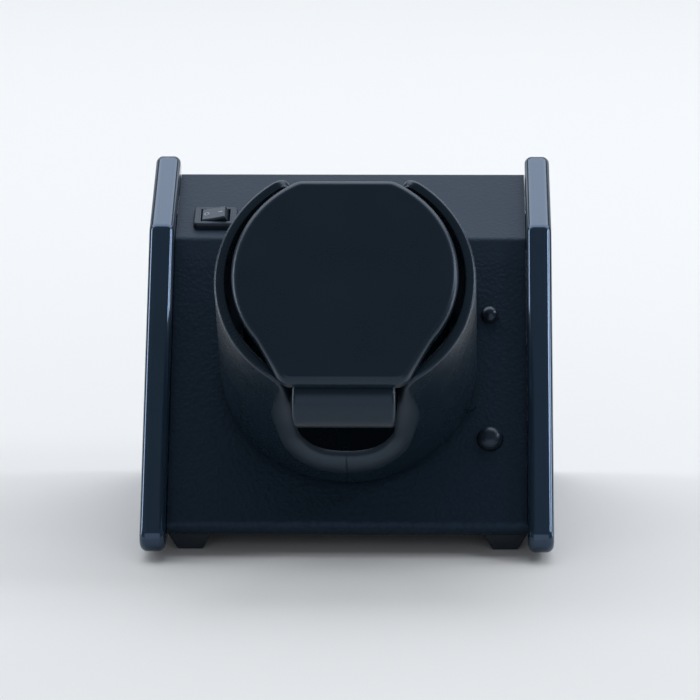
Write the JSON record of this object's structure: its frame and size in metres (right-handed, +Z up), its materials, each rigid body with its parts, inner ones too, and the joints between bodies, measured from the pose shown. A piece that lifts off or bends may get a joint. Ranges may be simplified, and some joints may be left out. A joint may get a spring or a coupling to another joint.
{
  "type": "watch winder",
  "caption": "Desktop watch winder with gloss side panels, a slanted grained shell and a notched motor-driven cup that holds a sprung watch holder.",
  "frame": {"origin": "middle of the overall box at the level of the feet", "axes": "+Z up, the cup faces -Y and tilts up, +X to the right of a person facing the cup"},
  "size_m": [0.12, 0.1364, 0.1114],
  "materials": {
    "side_gloss": "deep gloss blue-black lacquer",
    "shell_grain": "fine-grained blue-black coating on bent sheet",
    "cup_satin": "satin black moulded plastic",
    "holder_satin": "satin black moulded plastic",
    "foot_rubber": "matt black rubber",
    "switch_black": "black switch moulding",
    "button_gloss": "gloss black moulding",
    "lens_smoke": "smoked clear plastic",
    "screw_steel": "plated steel",
    "sheet_steel": "zinc plated sheet",
    "motor_metal": "bright motor can",
    "bush_brass": "sintered bronze",
    "gear_nylon": "natural nylon",
    "board_green": "green solder mask",
    "chip_black": "moulded package",
    "spring_steel": "spring wire",
    "cell_wrap": "plain grey cell sleeve",
    "wire_red": "red insulated wire",
    "wire_black": "black insulated wire",
    "wire_blue": "blue insulated wire"
  },
  "bodies": {
    "housing": {"back_panel": "shell_grain", "battery_cells": "cell_wrap", "battery_contacts": "screw_steel", "battery_leads": "wire_red", "battery_tray": "switch_black", "board_screws": "screw_steel", "board_standoffs": "screw_steel", "body_shell": "shell_grain", "case_screws": "screw_steel", "circuit_board": "board_green", "contact_springs": "spring_steel", "controller_chip": "chip_black", "front_bush": "bush_brass", "gearbox_case": "sheet_steel", "gearbox_screws": "screw_steel", "indicator_led": "lens_smoke", "indicator_lens": "lens_smoke", "left_side_panel": "side_gloss", "motor_can": "motor_metal", "motor_leads": "wire_blue", "motor_plate": "sheet_steel", "motor_plate_screws": "screw_steel", "motor_terminals": "bush_brass", "mount_plate": "cup_satin", "mount_screws": "screw_steel", "panel_brackets": "sheet_steel", "panel_screws": "screw_steel", "plate_standoffs": "screw_steel", "rear_bush": "bush_brass", "right_side_panel": "side_gloss", "rocker_body": "switch_black", "rocker_pin": "screw_steel", "rubber_feet": "foot_rubber", "switch_leads": "wire_black", "switch_terminals": "bush_brass", "tact_switch": "chip_black", "thrust_washer": "gear_nylon"},
    "cup": {"cup_shell": "cup_satin", "cup_hub": "gear_nylon", "hub_screws": "screw_steel", "hub_set_screw": "screw_steel", "cup_posts": "cup_satin", "cup_shaft": "screw_steel", "shaft_clip": "spring_steel", "drive_gear": "gear_nylon", "gear_set_screw": "screw_steel"},
    "pinion": {"pinion": "bush_brass"},
    "holder": {"holder_face": "holder_satin", "holder_core": "holder_satin", "holder_screws": "screw_steel", "holder_legs": "holder_satin", "jaw_springs": "spring_steel"},
    "jaw": {"holder_jaw": "holder_satin"},
    "rocker": {"rocker_cap": "button_gloss"},
    "button": {"push_button": "button_gloss", "switch_plunger": "chip_black"},
    "door": {"battery_door": "switch_black"}
  },
  "joints": [
    {"name": "cup_spin", "type": "hinge", "parent": "housing", "child": "cup", "pos_m": [0, 0.00415, 0.04838], "axis": [0, -0.788, 0.6157], "continuous": true},
    {"name": "pinion_spin", "type": "hinge", "parent": "housing", "child": "pinion", "pos_m": [-0.02518, 0.00979, 0.05561], "axis": [0, -0.788, 0.6157], "continuous": true},
    {"name": "holder_lift", "type": "slide", "parent": "cup", "child": "holder", "axis": [0, -0.788, 0.6157], "range_m": [0, 0.05]},
    {"name": "jaw_slide", "type": "slide", "parent": "holder", "child": "jaw", "axis": [0, 0.6157, 0.788], "range_m": [0, 0.008], "stiffness_N_per_m": 300, "springref_m": -0.01, "deforming": ["jaw_springs"]},
    {"name": "rocker_tilt", "type": "hinge", "parent": "housing", "child": "rocker", "pos_m": [-0.0407, 0.03989, 0.08486], "axis": [0, 0.9354, 0.3535], "range_deg": [0, 22]},
    {"name": "button_press", "type": "slide", "parent": "housing", "child": "button", "axis": [0, 0.788, -0.6157], "range_m": [0, 0.001], "stiffness_N_per_m": 400, "springref_m": -0.001},
    {"name": "door_pull", "type": "slide", "parent": "housing", "child": "door", "axis": [0, 1, 0], "range_m": [0, 0.03]}
  ],
  "couplings": [
    {"joint": "pinion_spin", "follows": "cup_spin", "ratio": -3.1875}
  ]
}
